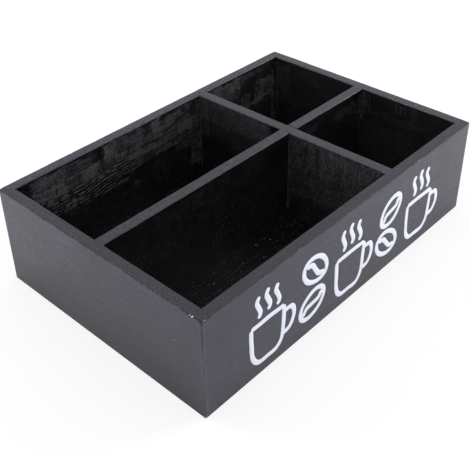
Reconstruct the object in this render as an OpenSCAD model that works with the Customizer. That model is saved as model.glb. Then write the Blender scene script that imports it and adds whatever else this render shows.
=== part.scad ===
// Open desk-top organizer in painted wood: four mitred walls, a base let into a rabbet, and three
// dividers that make two long bins on the left and two small bins on the right.
// X runs along the length, Y from the front panel to the back panel, Z up.
// The origin is the centre of the underside.

/* [Box] */
// Outside length, left to right
box_l = 300; // [280:1:420]
// Outside width, front to back
box_w = 200; // [150:1:300]
// Outside height
box_h = 80.5; // [60:0.5:120]
// Thickness of the four wall boards
wall_t = 8.4; // [8:0.1:12]
// Radius of the four upright outer corners
corner_r = 1; // [0.8:0.1:3]

/* [Base] */
// Thickness of the base panel
base_t = 4; // [3:0.5:6]
// How far the rabbet under each wall reaches in from the wall's inner face
rabbet_w = 4.5; // [4:0.25:6]
// Gap all round between the base panel and the rabbet's side
base_clear = 0.2; // [0:0.05:0.5]

/* [Dividers] */
// Thickness of the divider boards
divider_t = 8.5; // [8:0.1:12]
// Distance from the outside of the left end panel to the middle of the cross divider
cross_at = 198.5; // [170:0.5:210]
// Distance from the outside of the front panel to the middle of the long and the short divider
long_at = 100.2; // [85:0.2:115]
// Open gap between the cross divider and the short divider
divider_gap = 0.8; // [0.2:0.1:0.9]

/* [Edges] */
// Radius sanded onto the top edges of the walls and the dividers
rim_r = 0.5; // [0.3:0.05:0.8]
// Radius sanded onto the lower outer edges
foot_r = 0.4; // [0.2:0.05:0.8]

/* [Brads] */
// Shank diameter of a brad
brad_d = 1.2; // [0.8:0.1:1.4]
// Length of a brad that holds walls and dividers
brad_l = 20; // [15:1:25]
// Length of a brad that holds the base panel
base_brad_l = 14; // [10:1:18]
// Diameter of a brad's head
head_d = 1.8; // [1.6:0.1:2.2]
// Thickness of a brad's head
head_t = 0.6; // [0.4:0.1:0.8]
// How deep the heads in the outer faces are set, under filler
set_depth = 0.9; // [0.6:0.1:1.2]
// Height of the lowest brad of an upright joint over the tips of the base panel's brads
brad_low = 4; // [3:0.5:10]
// Distance of the highest brad of an upright joint below the rim
brad_high = 14; // [12:1:18]
// Distance from each end of a board to its first brad through the base panel
brad_inset = 24; // [18:1:30]

/* [Hidden] */
$fn = 48;

// Colours
paint = "#2c2a2d";
inside_paint = "#1d1c1e";
steel = "#8c8f94";
filler = "#3a383b";

// Half sizes of the outside and of the space between the walls
half_l = box_l / 2;
half_w = box_w / 2;
in_x = half_l - wall_t;
in_y = half_w - wall_t;

// Faces of the dividers
cross_x = cross_at - half_l;
cross_left = cross_x - divider_t / 2;
cross_right = cross_x + divider_t / 2;
long_y = long_at - half_w;
long_front = long_y - divider_t / 2;
long_back = long_y + divider_t / 2;
short_left = cross_right + divider_gap;

// Cuts run this far past the faces that they open
past = 1;

// Heights of the two brads in an upright joint
low_brad_z = base_brad_l + brad_low;
high_brad_z = box_h - brad_high;

// Place of the corner brads along X, in the middle of the end panels' thickness
corner_brad_x = half_l - wall_t / 2;
// Middle of the base panel's lap in a rabbet
lap_x = in_x + rabbet_w / 2;
lap_y = in_y + rabbet_w / 2;

// The four bins as [x from, x to, y from, y to]
BINS = [
    [-in_x, cross_left, -in_y, long_front],
    [-in_x, cross_left, long_back, in_y],
    [cross_right, in_x, -in_y, long_front],
    [cross_right, in_x, long_back, in_y]
];

// Count of places from a to b, with the first and the last brad_inset in from them
function spread(a, b, count) =
    [for (i = [0 : count - 1]) a + brad_inset + i * (b - a - 2 * brad_inset) / (count - 1)];

// Places of the brads as [x, y, z] on the face where each is driven
function stack(x, y) = [[x, y, low_brad_z], [x, y, high_brad_z]];
function row_x(x0, x1, y, count) = [for (x = spread(x0, x1, count)) [x, y, 0]];
function row_y(x, y0, y1, count) = [for (y = spread(y0, y1, count)) [x, y, 0]];

FRONT_LEFT = stack(-corner_brad_x, -half_w);
FRONT_RIGHT = stack(corner_brad_x, -half_w);
BACK_LEFT = stack(-corner_brad_x, half_w);
BACK_RIGHT = stack(corner_brad_x, half_w);
FRONT_CROSS = stack(cross_x, -half_w);
BACK_CROSS = stack(cross_x, half_w);
LEFT_LONG = stack(-half_l, long_y);
RIGHT_SHORT = stack(half_l, long_y);
CROSSING = stack(cross_right, long_y);
BASE_FRONT = row_x(-in_x, in_x, -lap_y, 4);
BASE_BACK = row_x(-in_x, in_x, lap_y, 4);
BASE_LEFT = row_y(-lap_x, -in_y, in_y, 3);
BASE_RIGHT = row_y(lap_x, -in_y, in_y, 3);
BASE_CROSS = row_y(cross_x, -in_y, in_y, 3);
BASE_LONG = row_x(-in_x, cross_left, long_y, 3);
BASE_SHORT = row_x(short_left, in_x, long_y, 2);

// Directions in which brads are driven, as rotations of one that points up
TO_BACK = [-90, 0, 0];
TO_FRONT = [90, 0, 0];
TO_RIGHT = [0, 90, 0];
TO_LEFT = [0, -90, 0];
UP = [0, 0, 0];

// One brad that points up, with the top of its head sunk below the face by sunk
module brad(length, sunk) {
    translate([0, 0, sunk]) {
        cylinder(d = head_d, h = head_t);
        translate([0, 0, head_t]) cylinder(d = brad_d, h = length - head_t);
    }
}

// The hole that a brad leaves, open at the face
module brad_hole(length, sunk) {
    translate([0, 0, -past]) cylinder(d = head_d, h = past + sunk + head_t);
    translate([0, 0, sunk + head_t]) cylinder(d = brad_d, h = length - head_t);
}

// Copies of a brad at its places, turned the way it is driven
module at(places, turn) {
    for (p = places) translate(p) rotate(turn) children();
}

module brads(places, turn, length = brad_l, sunk = set_depth) {
    color(steel) at(places, turn) brad(length, sunk);
}

module brad_holes(places, turn, length = brad_l, sunk = set_depth) {
    at(places, turn) brad_hole(length, sunk);
}

module filler_plugs(places, turn) {
    color(filler) at(places, turn) cylinder(d = head_d, h = set_depth);
}

// Brads that go up through the base panel, with their heads flush with its underside
module base_brads(places) {
    brads(places, UP, base_brad_l, 0);
}

// Holes for them
module base_holes(places) {
    brad_holes(places, UP, base_brad_l, 0);
}

// Every brad hole in an outer face or between two boards
module joint_holes() {
    brad_holes(concat(FRONT_LEFT, FRONT_RIGHT, FRONT_CROSS), TO_BACK);
    brad_holes(concat(BACK_LEFT, BACK_RIGHT, BACK_CROSS), TO_FRONT);
    brad_holes(LEFT_LONG, TO_RIGHT);
    brad_holes(RIGHT_SHORT, TO_LEFT);
}

// Section of what sanding takes off an edge: the corner outside a quarter round of radius r.
// The edge is at the origin, and the wood is at +X and below.
module sanded_off(r) {
    difference() {
        translate([-past, -r]) square([r + past, r + past]);
        translate([r, -r]) circle(r = r);
    }
}

// The same along a straight edge on X, with the wood at +Y and below
module edge_cut(length, r) {
    rotate([90, 0, 90]) linear_extrude(length) sanded_off(r);
}

// Cut along one side of an opening. Both ends run out at 45 degrees to meet the next sides' cuts.
module opening_side(length) {
    intersection() {
        translate([-rim_r, 0, 0]) edge_cut(length + 2 * rim_r, rim_r);
        translate([0, 0, -rim_r - past]) linear_extrude(rim_r + 3 * past)
            polygon([
                [past, -past], [length - past, -past],
                [length + rim_r, rim_r], [-rim_r, rim_r]
            ]);
    }
}

// Sanded top edges of a bin's mouth from [x0, y0] to [x1, y1]
module opening_cut(x0, x1, y0, y1) {
    translate([x0, y1, box_h]) opening_side(x1 - x0);
    translate([x1, y0, box_h]) rotate([0, 0, 180]) opening_side(x1 - x0);
    translate([x1, y1, box_h]) rotate([0, 0, -90]) opening_side(y1 - y0);
    translate([x0, y0, box_h]) rotate([0, 0, 90]) opening_side(y1 - y0);
}

// Cut along one outer side, from one rounded corner to the next, and round the second corner
module outer_side(length, r) {
    translate([corner_r, 0, 0]) edge_cut(length - 2 * corner_r, r);
    translate([length - corner_r, corner_r, 0]) rotate([0, 0, -90]) rotate_extrude(angle = 90)
        translate([corner_r, 0]) mirror([1, 0]) sanded_off(r);
}

// Sanded outer edges all round the box at Z = 0, with the wood below
module outline_cut(r) {
    translate([-half_l, -half_w, 0]) outer_side(box_l, r);
    translate([half_l, -half_w, 0]) rotate([0, 0, 90]) outer_side(box_w, r);
    translate([half_l, half_w, 0]) rotate([0, 0, 180]) outer_side(box_l, r);
    translate([-half_l, half_w, 0]) rotate([0, 0, -90]) outer_side(box_w, r);
}

// Everything that sanding takes off the top of the assembled box
module rim_easing() {
    for (b = BINS) opening_cut(b[0], b[1], b[2], b[3]);
    translate([0, 0, box_h]) outline_cut(rim_r);
}

// Outline of the box in plan, with its upright corners rounded
module plan() {
    square([box_l - 2 * corner_r, box_w], center = true);
    square([box_l, box_w - 2 * corner_r], center = true);
    for (x = [-1, 1], y = [-1, 1])
        translate([x * (half_l - corner_r), y * (half_w - corner_r)]) circle(r = corner_r);
}

// A mitred wall along X, before its edges are sanded, with its outer face at Y = -half_w
module long_wall() {
    difference() {
        intersection() {
            linear_extrude(box_h)
                polygon([
                    [-half_l, -half_w], [half_l, -half_w],
                    [in_x, -in_y], [-in_x, -in_y]
                ]);
            linear_extrude(box_h) plan();
        }
        base_rabbet();
    }
}

// A mitred wall along Y, with its outer face at X = -half_l
module end_wall() {
    difference() {
        intersection() {
            linear_extrude(box_h)
                polygon([
                    [-half_l, -half_w], [-in_x, -in_y],
                    [-in_x, in_y], [-half_l, half_w]
                ]);
            linear_extrude(box_h) plan();
        }
        base_rabbet();
    }
}

// The space for the base panel under the four walls
module base_rabbet() {
    translate([-in_x - rabbet_w, -in_y - rabbet_w, -past])
        cube([2 * (in_x + rabbet_w), 2 * (in_y + rabbet_w), base_t + past]);
}

// Sands a wall and drills its brad holes
module finished_wall(base_places) {
    difference() {
        children();
        rim_easing();
        mirror([0, 0, 1]) outline_cut(foot_r);
        joint_holes();
        base_holes(base_places);
    }
}

module front_panel() {
    color(paint) finished_wall(BASE_FRONT) long_wall();
}

module back_panel() {
    color(paint) finished_wall(BASE_BACK) mirror([0, 1, 0]) long_wall();
}

module left_end_panel() {
    color(paint) finished_wall(BASE_LEFT) end_wall();
}

module right_end_panel() {
    color(paint) finished_wall(BASE_RIGHT) mirror([1, 0, 0]) end_wall();
}

module base_panel() {
    base_x = in_x + rabbet_w - base_clear;
    base_y = in_y + rabbet_w - base_clear;
    color(inside_paint) difference() {
        translate([-base_x, -base_y, 0]) cube([2 * base_x, 2 * base_y, base_t]);
        base_holes(concat(BASE_FRONT, BASE_BACK, BASE_LEFT, BASE_RIGHT));
        base_holes(concat(BASE_CROSS, BASE_LONG, BASE_SHORT));
    }
}

module cross_divider() {
    color(inside_paint) difference() {
        translate([cross_left, -in_y, base_t]) cube([divider_t, 2 * in_y, box_h - base_t]);
        rim_easing();
        joint_holes();
        brad_holes(CROSSING, TO_LEFT, brad_l, 0);
        base_holes(BASE_CROSS);
    }
}

module long_divider() {
    color(inside_paint) difference() {
        translate([-in_x, long_front, base_t])
            cube([cross_left + in_x, divider_t, box_h - base_t]);
        rim_easing();
        joint_holes();
        brad_holes(CROSSING, TO_LEFT, brad_l, 0);
        base_holes(BASE_LONG);
    }
}

module short_divider() {
    color(inside_paint) difference() {
        translate([short_left, long_front, base_t])
            cube([in_x - short_left, divider_t, box_h - base_t]);
        rim_easing();
        joint_holes();
        base_holes(BASE_SHORT);
    }
}

// Brads that hold the mitred corners
module front_left_corner_brads() {
    brads(FRONT_LEFT, TO_BACK);
}

module front_right_corner_brads() {
    brads(FRONT_RIGHT, TO_BACK);
}

module back_left_corner_brads() {
    brads(BACK_LEFT, TO_FRONT);
}

module back_right_corner_brads() {
    brads(BACK_RIGHT, TO_FRONT);
}

// Brads that hold the ends of the dividers
module front_divider_brads() {
    brads(FRONT_CROSS, TO_BACK);
}

module back_divider_brads() {
    brads(BACK_CROSS, TO_FRONT);
}

module left_divider_brads() {
    brads(LEFT_LONG, TO_RIGHT);
}

module right_divider_brads() {
    brads(RIGHT_SHORT, TO_LEFT);
}

module crossing_brads() {
    brads(CROSSING, TO_LEFT, brad_l, 0);
}

// Brads that hold the base panel to the walls and the dividers
module front_base_brads() {
    base_brads(BASE_FRONT);
}

module back_base_brads() {
    base_brads(BASE_BACK);
}

module left_base_brads() {
    base_brads(BASE_LEFT);
}

module right_base_brads() {
    base_brads(BASE_RIGHT);
}

module cross_divider_base_brads() {
    base_brads(BASE_CROSS);
}

module long_divider_base_brads() {
    base_brads(BASE_LONG);
}

module short_divider_base_brads() {
    base_brads(BASE_SHORT);
}

// Filler over the heads in the outer faces
module front_filler() {
    filler_plugs(concat(FRONT_LEFT, FRONT_RIGHT, FRONT_CROSS), TO_BACK);
}

module back_filler() {
    filler_plugs(concat(BACK_LEFT, BACK_RIGHT, BACK_CROSS), TO_FRONT);
}

module left_filler() {
    filler_plugs(LEFT_LONG, TO_RIGHT);
}

module right_filler() {
    filler_plugs(RIGHT_SHORT, TO_LEFT);
}

front_panel();
back_panel();
left_end_panel();
right_end_panel();
base_panel();
cross_divider();
long_divider();
short_divider();
front_left_corner_brads();
front_right_corner_brads();
back_left_corner_brads();
back_right_corner_brads();
front_divider_brads();
back_divider_brads();
left_divider_brads();
right_divider_brads();
crossing_brads();
front_base_brads();
back_base_brads();
left_base_brads();
right_base_brads();
cross_divider_base_brads();
long_divider_base_brads();
short_divider_base_brads();
front_filler();
back_filler();
left_filler();
right_filler();
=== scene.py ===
"""Finishes and fine shapes of a painted wooden organizer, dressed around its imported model.

Lengths are in metres in the model's own frame: X along the box, Y from the front panel to the
back panel, Z up from the surface that the box stands on.
"""

import math

import bpy
import numpy as np
from bpy.props import FloatProperty, FloatVectorProperty, PointerProperty
from bpy.types import Operator, Panel, PropertyGroup
from mathutils import Matrix, Vector


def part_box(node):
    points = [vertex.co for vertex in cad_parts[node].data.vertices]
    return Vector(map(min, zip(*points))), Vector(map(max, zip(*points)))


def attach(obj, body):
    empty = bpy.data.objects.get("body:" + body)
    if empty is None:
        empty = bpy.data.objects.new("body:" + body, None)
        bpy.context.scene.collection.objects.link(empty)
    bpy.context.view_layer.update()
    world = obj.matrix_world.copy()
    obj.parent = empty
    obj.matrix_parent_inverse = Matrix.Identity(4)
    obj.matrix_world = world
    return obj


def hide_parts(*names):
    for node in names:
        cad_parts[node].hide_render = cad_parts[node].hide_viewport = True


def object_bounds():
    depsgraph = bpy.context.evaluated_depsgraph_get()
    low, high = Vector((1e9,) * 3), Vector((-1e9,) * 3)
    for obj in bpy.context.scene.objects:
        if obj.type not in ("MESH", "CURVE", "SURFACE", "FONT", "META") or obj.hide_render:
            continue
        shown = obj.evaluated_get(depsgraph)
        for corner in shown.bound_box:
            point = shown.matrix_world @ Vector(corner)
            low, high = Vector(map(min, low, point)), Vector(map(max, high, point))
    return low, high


bl_info = {
    "name": "Painted organizer",
    "version": (1, 0, 0),
    "blender": (4, 5, 0),
    "location": "View3D > Sidebar > Organizer",
    "description": "Boards, paint, decoration and stage of a wooden box with four bins",
    "category": "Object",
}

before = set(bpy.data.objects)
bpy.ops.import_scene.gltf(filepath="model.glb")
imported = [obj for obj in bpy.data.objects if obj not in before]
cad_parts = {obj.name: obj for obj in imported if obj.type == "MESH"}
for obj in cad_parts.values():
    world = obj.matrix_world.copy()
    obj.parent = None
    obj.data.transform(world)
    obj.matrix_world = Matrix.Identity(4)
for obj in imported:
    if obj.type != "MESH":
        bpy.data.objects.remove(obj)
CAD_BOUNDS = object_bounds()

MM = 0.001
BODY = "root"
QUARTER_TURN = math.pi / 2
GOLDEN_ANGLE = math.pi * (3 - math.sqrt(5))
ARC = np.linspace(0, 1, 7) * QUARTER_TURN


# Settings


class CameraSettings(PropertyGroup):
    """Where the camera stands and how it looks."""

    place: FloatVectorProperty(
        name="Place", description="Where the camera stands",
        default=(-0.38544, -0.34753, 0.40570), subtype="TRANSLATION", unit="LENGTH", precision=5)
    heading: FloatProperty(
        name="Heading", description="Turn of the view from +Y toward +X",
        default=math.radians(46.267), subtype="ANGLE")
    dip: FloatProperty(
        name="Dip", description="How far the view points below level",
        default=math.radians(33.048), subtype="ANGLE")
    roll: FloatProperty(
        name="Roll", description="Turn of the frame about the view",
        default=math.radians(-1.30), subtype="ANGLE")
    focal_length: FloatProperty(
        name="Focal length", description="Lens, in millimetres on a 36 mm wide frame",
        default=63.15, min=10.0, unit="CAMERA")
    shift_x: FloatProperty(
        name="Shift X", description="Sideways shift, as a share of the frame", default=0.0181)
    shift_y: FloatProperty(
        name="Shift Y", description="Upward shift, as a share of the frame", default=-0.1419)


class BoardSettings(PropertyGroup):
    """Shapes that hand work leaves on the boards."""

    rim_radius: FloatProperty(
        name="Rim radius", description="Sanded radius on the top edges",
        default=0.5 * MM, min=0.1 * MM, unit="LENGTH", precision=5)
    foot_radius: FloatProperty(
        name="Foot radius", description="Sanded radius on the lower outer edges",
        default=0.4 * MM, min=0.1 * MM, unit="LENGTH", precision=5)
    corner_radius: FloatProperty(
        name="Corner radius", description="Sanded radius on the upright outer corners",
        default=1.0 * MM, min=0.1 * MM, unit="LENGTH", precision=5)
    rabbet_gap: FloatProperty(
        name="Rabbet gap", description="Gap between the base panel's edge and the rabbet",
        default=0.2 * MM, min=0.0, unit="LENGTH", precision=5)
    radius_wander: FloatProperty(
        name="Radius wander", description="How unevenly the edges are sanded, as a share",
        default=0.5, min=0.0, max=0.8)
    corner_blunting: FloatProperty(
        name="Corner blunting", description="How much wider the sanding gets at the top corners",
        default=1.2, min=0.0, max=3.0)
    face_wander: FloatProperty(
        name="Face wander", description="Height of the slow waves in the boards' faces",
        default=0.06 * MM, min=0.0, unit="LENGTH", precision=5)
    divider_lean: FloatProperty(
        name="Divider lean", description="How far the cross divider's front end stands right of true",
        default=1.35 * MM, unit="LENGTH", precision=5)
    seam_depth: FloatProperty(
        name="Seam depth", description="Depth of the open seam at the mitred corners",
        default=0.35 * MM, min=0.0, unit="LENGTH", precision=5)
    seam_width: FloatProperty(
        name="Seam width", description="Half width of that seam",
        default=0.16 * MM, min=0.01 * MM, unit="LENGTH", precision=5)
    spacing: FloatProperty(
        name="Spacing", description="Distance between points of a board's grid",
        default=0.9 * MM, min=0.5 * MM, unit="LENGTH", precision=5)


class PaintSettings(PropertyGroup):
    """Colours and gloss of the coats of paint."""

    outer_color: FloatVectorProperty(
        name="Outer colour", description="Paint on the outer faces and the rims",
        default=(0.0206, 0.0190, 0.0270), size=3, min=0.0, max=1.0, subtype="COLOR")
    inner_color: FloatVectorProperty(
        name="Inner colour", description="Paint on the faces inside the bins",
        default=(0.0072, 0.0069, 0.0072), size=3, min=0.0, max=1.0, subtype="COLOR")
    scuff_color: FloatVectorProperty(
        name="Scuff colour", description="Thin paint and dust where the brush ran dry",
        default=(0.092, 0.090, 0.096), size=3, min=0.0, max=1.0, subtype="COLOR")
    gloss_tint: FloatVectorProperty(
        name="Gloss tint", description="Tint of the reflection that looks straight at the paint",
        default=(0.93, 0.87, 1.0), size=3, min=0.0, max=1.0, subtype="COLOR")
    outer_roughness: FloatProperty(
        name="Outer roughness", description="Roughness of the outer paint",
        default=0.36, min=0.0, max=1.0, subtype="FACTOR")
    inner_roughness: FloatProperty(
        name="Inner roughness", description="Roughness of the inner paint",
        default=0.20, min=0.0, max=1.0, subtype="FACTOR")
    scuff_roughness: FloatProperty(
        name="Scuff roughness", description="Roughness where the brush ran dry",
        default=0.30, min=0.0, max=1.0, subtype="FACTOR")


class MotifSettings(PropertyGroup):
    """The line drawing on the front panel."""

    color: FloatVectorProperty(
        name="Colour", description="Paint of the drawing",
        default=(0.61, 0.645, 0.72), size=3, min=0.0, max=1.0, subtype="COLOR")
    stroke: FloatProperty(
        name="Stroke", description="Width of a stroke",
        default=3.9 * MM, min=0.5 * MM, unit="LENGTH", precision=5)
    thickness: FloatProperty(
        name="Thickness", description="How far the paint stands off the panel",
        default=0.2 * MM, min=0.02 * MM, unit="LENGTH", precision=5)
    sink: FloatProperty(
        name="Sink", description="How far the strokes reach into the panel",
        default=0.15 * MM, min=0.02 * MM, unit="LENGTH", precision=5)
    wander: FloatProperty(
        name="Wander", description="Unevenness of a stroke drawn by hand",
        default=0.22 * MM, min=0.0, unit="LENGTH", precision=5)
    foot: FloatProperty(
        name="Foot", description="Height of the drawing's lowest line over the table",
        default=10.5 * MM, min=0.0, unit="LENGTH", precision=5)


class StageSettings(PropertyGroup):
    """Floor and light."""

    floor_color: FloatVectorProperty(
        name="Floor colour", description="Colour of the floor",
        default=(0.95, 0.95, 0.95), size=3, min=0.0, max=1.0, subtype="COLOR")
    floor_size: FloatProperty(
        name="Floor size", description="Side of the square floor", default=12.0, unit="LENGTH")
    floor_glow: FloatProperty(
        name="Floor glow", description="Share of plain white in what the camera sees of the floor",
        default=0.75, min=0.0, max=1.0, subtype="FACTOR")
    sky_strength: FloatProperty(
        name="Sky strength", description="Strength of the even light from all round",
        default=0.95, min=0.0)
    left_lamp: FloatProperty(
        name="Left lamp", description="Power of the low soft lamp behind on the left",
        default=25.0, min=0.0, unit="POWER")
    right_lamp: FloatProperty(
        name="Right lamp", description="Power of the low soft lamp in front on the right",
        default=30.0, min=0.0, unit="POWER")


# Slow unevenness and the plan of the box

CORNER_REACH = 2.5 * MM


def waves(x, y, z, wavelength, seed):
    """Smooth unevenness from about -1 to 1: the mean of sine waves of like length that run in
    directions spread over a sphere by the golden angle, each with its own phase."""
    count = 7
    total = np.zeros(np.broadcast(x, y, z).shape)
    for k in range(count):
        rise = 1 - 2 * (k + 0.5) / count
        turn = k * GOLDEN_ANGLE + seed * 1.7
        flat = math.sqrt(1 - rise * rise)
        step = 2 * math.pi / (wavelength * (0.7 + 0.13 * k))
        along = x * flat * math.cos(turn) + y * flat * math.sin(turn) + z * rise
        total = total + np.sin(along * step + 5.1 * k + 2.3 * seed)
    return total / count * 1.8


def bell(distance, width):
    """A bell curve: one at no distance, falling to about a third at the width."""
    return np.exp(-((distance / width) ** 2))


def sanded_drop(reach, radius):
    """Drop below the rim at a distance in from a sanded edge: that of a quarter circle."""
    left = np.clip(radius - reach, 0.0, radius)
    return radius - np.sqrt(np.maximum(radius**2 - left**2, 0.0))


class Plan:
    """The boards' settings, and the places of their faces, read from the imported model's boxes."""

    def __init__(self, boards):
        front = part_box("front_panel")
        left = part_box("left_end_panel")
        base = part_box("base_panel")
        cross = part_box("cross_divider")
        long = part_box("long_divider")
        self.boards = boards
        self.half_l, self.half_w, self.height = CAD_BOUNDS[1]
        self.wall = front[1].y - front[0].y
        self.end_wall = left[1].x - left[0].x
        self.in_x = -left[1].x
        self.in_y = -front[1].y
        self.floor_z = base[1].z
        self.lip = self.half_l - base[1].x - boards.rabbet_gap
        self.cross = (cross[0].x, cross[1].x)
        self.long = (long[0].y, long[1].y)
        self.short_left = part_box("short_divider")[0].x

    def lean(self, y):
        """Sideways stray of the cross divider: straight, and to the right in front."""
        return -self.boards.divider_lean * y / self.in_y

    def cross_faces(self, y):
        """Places along X of the cross divider's two faces, which lean with it."""
        return [face + self.lean(y) for face in self.cross]

    def reach_from_bins(self, x, y):
        """Distance out from the nearest bin's mouth, the larger of the distances along X and Y.
        It is zero on the mouth's edge and grows over the wood, so it squares off at corners."""
        cross_left, cross_right = self.cross_faces(y)
        best = np.full(np.shape(x), np.inf)
        for y0, y1 in ((-self.in_y, self.long[0]), (self.long[1], self.in_y)):
            across = np.maximum(y0 - y, y - y1)
            for x0, x1 in ((-self.in_x, cross_left), (cross_right, self.in_x)):
                best = np.minimum(best, np.maximum(np.maximum(x0 - x, x - x1), across))
        return best

    def rim_radius(self, x, y):
        """Radius of the sanded top edge near a place in plan: the set one, made uneven by waves
        and wider near the four outer corners by a bell curve of the distance to the nearest."""
        share = 0.6 * waves(x, y, 0.0, 24 * MM, 3) + 0.4 * waves(x, y, 0.0, 7 * MM, 8)
        corner = np.hypot(np.abs(x) - self.half_l, np.abs(y) - self.half_w)
        blunt = self.boards.corner_blunting * bell(corner, CORNER_REACH)
        return self.boards.rim_radius * (1 + self.boards.radius_wander * share + blunt)

    def top_height(self, x, y):
        """Height of the wood's top beside the bins: the rim's less what the sanding took."""
        return self.height - sanded_drop(self.reach_from_bins(x, y), self.rim_radius(x, y))

    def face_wave(self, x, y, z, seed):
        """How far a board's face stands out from its plane: long waves with shorter ones."""
        long = waves(x, y, z, 60 * MM, seed)
        short = waves(x, y, z, 17 * MM, seed + 5)
        return (0.7 * long + 0.3 * short) * self.boards.face_wander


# Marks of the brush inside the bins

# Each row is where a mark starts and ends along the board, where it starts and ends in height,
# its strength, how softly it ends, and how much it rises for each millimetre along the board
# where it slants. All lengths are in millimetres. Smoke is a thin haze of paint, streaks are
# lines in it, and gaps take smoke away. The outlines wander by FRAY times the softness, which
# counts up to FRAY_LIMIT.

FRAY = 0.8
FRAY_LIMIT = 2.0

SMOKE = {
    "back_panel": (
        (-128, -98, 57, 67, 0.75, 2), (-128, -98, 67, 77, 0.5, 2), (-98, -66, 57, 67, 0.62, 2),
        (-98, -72, 67, 76, 0.34, 2),
        (-62, -50, 64, 78.5, 0.85, 2.5), (-62, -38, 57, 77, 0.48, 2.5), (-50, -24, 58, 78, 0.42, 2.5),
        (-24, -11, 56, 67, 0.5, 2), (-24, -11, 66, 77, 0.2, 2.5), (-11, -4, 57, 78, 0.9, 2),
        (-5, 31, 58, 75, 0.62, 2), (-5, 31, 74, 78, 0.3, 1.5), (-38, 14, 54.5, 58.8, 1.0, 1.2),
        (8, 32, 55, 64, 0.85, 2), (31, 46, 56, 77, 0.45, 2), (-118, -24, 50, 57, 0.08, 3),
        (-6, 14, 47, 56, 0.32, 2.5), (-10, 14, 46.8, 48, 0.6, 0.7), (-28, -6, 46, 56, 0.2, 2.5),
        (14, 32, 40, 56, 0.3, 3), (31, 47, 18, 62, 0.4, 3), (38.4, 39.6, 14, 60, 0.5, 0.9),
        (42.6, 43.8, 10, 62, 0.6, 0.7), (-36, -31, 29, 33, 0.12, 2), (-12, -4, 36, 41, 0.12, 2),
        (56, 70, 71, 78, 0.45, 2), (66, 92, 62, 77, 0.5, 3), (80, 92, 54, 62, 0.3, 3),
        (92, 114, 73, 77, 0.42, 1.5), (92, 114, 52, 72, 0.12, 2), (94, 106, 49, 56, 0.5, 2),
        (114, 137, 46, 65, 0.42, 2.5), (114, 137, 65, 77, 0.25, 2), (99, 138, 43.5, 46, 0.7, 1.4, 0.1),
        (60, 138, 30, 44, 0.12, 5), (136.4, 138.8, 6, 68, 0.62, 1), (140.6, 141.6, 6, 78, 0.5, 0.5),
    ),
    "cross_divider": (
        (84, 91.5, 62, 78, 0.55, 4), (20, 84, 62, 77, 0.28, 9), (20, 84, 50, 62, 0.12, 8),
        (84, 91.5, 47, 62, 0.26, 5), (89, 90, 44, 64, 0.2, 0.9), (8, 30, 44, 60, 0.16, 5),
        (46, 54, 43, 48, 0.14, 5), (-90, -4, 56, 77, 0.42, 10), (-46, -35, 52, 77, 0.5, 4),
        (-70, -54, 58, 76, 0.38, 6), (-68, -60, 44, 55, 0.4, 4), (-60, -30, 34, 54, 0.28, 14),
        (-32, -6, 34, 52, 0.2, 16), (-60, -20, 8, 34, 0.08, 10), (-8.5, -4, 52, 78, 0.5, 2),
        (-6.2, -4.6, 11, 56, 0.34, 1),
    ),
    "right_end_panel": (
        (88.3, 89.8, 30, 76, 0.3, 0.8), (76, 87, 50, 74, 0.14, 4), (40, 77, 66, 70, 0.04, 4, 0.1),
        (25, 90, 40, 60, 0.03, 6), (-6.6, -4.6, 52, 78, 0.42, 1.2), (-9.4, -7.8, 58, 78, 0.3, 0.8),
        (-12.4, -11.2, 60, 77, 0.26, 0.7), (-39.2, -37.4, 69, 78, 0.18, 0.9),
        (-43.2, -41.4, 70, 77, 0.16, 0.8), (-47.4, -46, 71, 77, 0.12, 0.8),
        (-57, -52, 60, 78, 0.1, 2), (-50, -10, 60, 63, 0.07, 2), (-50, -10, 48, 51, 0.08, 2),
        (-86, -6, 10, 50, 0.05, 8),
    ),
    "long_divider": (
        (-40, 4, 39.6, 40.6, 0.14, 1), (-108, -86, 39.6, 40.4, 0.1, 1),
        (-60, -52, 66, 72, 0.05, 3), (-136, 34, 6, 50, 0.02, 8),
    ),
    "short_divider": (
        (104, 114, 66, 70, 0.12, 3), (116, 129, 65, 72, 0.22, 3), (130, 139, 54, 71, 0.14, 3),
        (138.4, 140.2, 44, 76, 0.42, 0.8), (132, 133.4, 40, 62, 0.12, 0.8), (70, 80, 68, 73, 0.12, 3),
        (60, 138, 6, 60, 0.02, 8),
    ),
    "front_panel": (
        (-138, -60, 58, 77, 0.5, 2), (-50, 30, 60, 77, 0.4, 3), (62, 128, 56, 77, 0.4, 3),
        (-138, 138, 40, 58, 0.12, 6),
    ),
    "left_end_panel": (
        (14, 86, 60, 77, 0.4, 3), (-86, -20, 58, 77, 0.4, 3), (-86, 86, 40, 60, 0.12, 6),
    ),
}
STREAKS = {
    "back_panel": (
        (-117, -105, 41, 55, 0.9, 2), (-104, -85, 38.5, 55, 1.3, 1.5), (-82, -40, 38.5, 56, 1.5, 1.5),
        (-62, -26, 38, 52, 1.4, 1.5, 0.2), (-44, -26, 48, 56, 0.6, 2), (-130, -70, 67, 77, 0.3, 3),
        (-10, 30, 60, 74, 0.2, 3), (-28, 14, 49, 56, 0.25, 2), (114, 136, 47, 64, 1.3, 2),
        (-100, 30, 24, 38, 0.1, 4), (96, 136, 40, 47, 0.7, 2), (58, 94, 54, 77, 0.3, 2),
    ),
    "cross_divider": ((-86, -10, 30, 76, 0.16, 4), (20, 84, 62, 78, 0.1, 4)),
    "right_end_panel": (
        (30, 88, 40, 76, 0.06, 4), (-84, -10, 20, 66, 0.09, 4),
    ),
    "short_divider": ((108, 138, 60, 72, 0.2, 2),),
    "front_panel": ((-130, -40, 42, 58, 0.7, 3), (70, 130, 40, 56, 0.5, 3)),
    "left_end_panel": ((20, 80, 44, 60, 0.6, 3), (-80, -30, 42, 58, 0.6, 3)),
}
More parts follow.
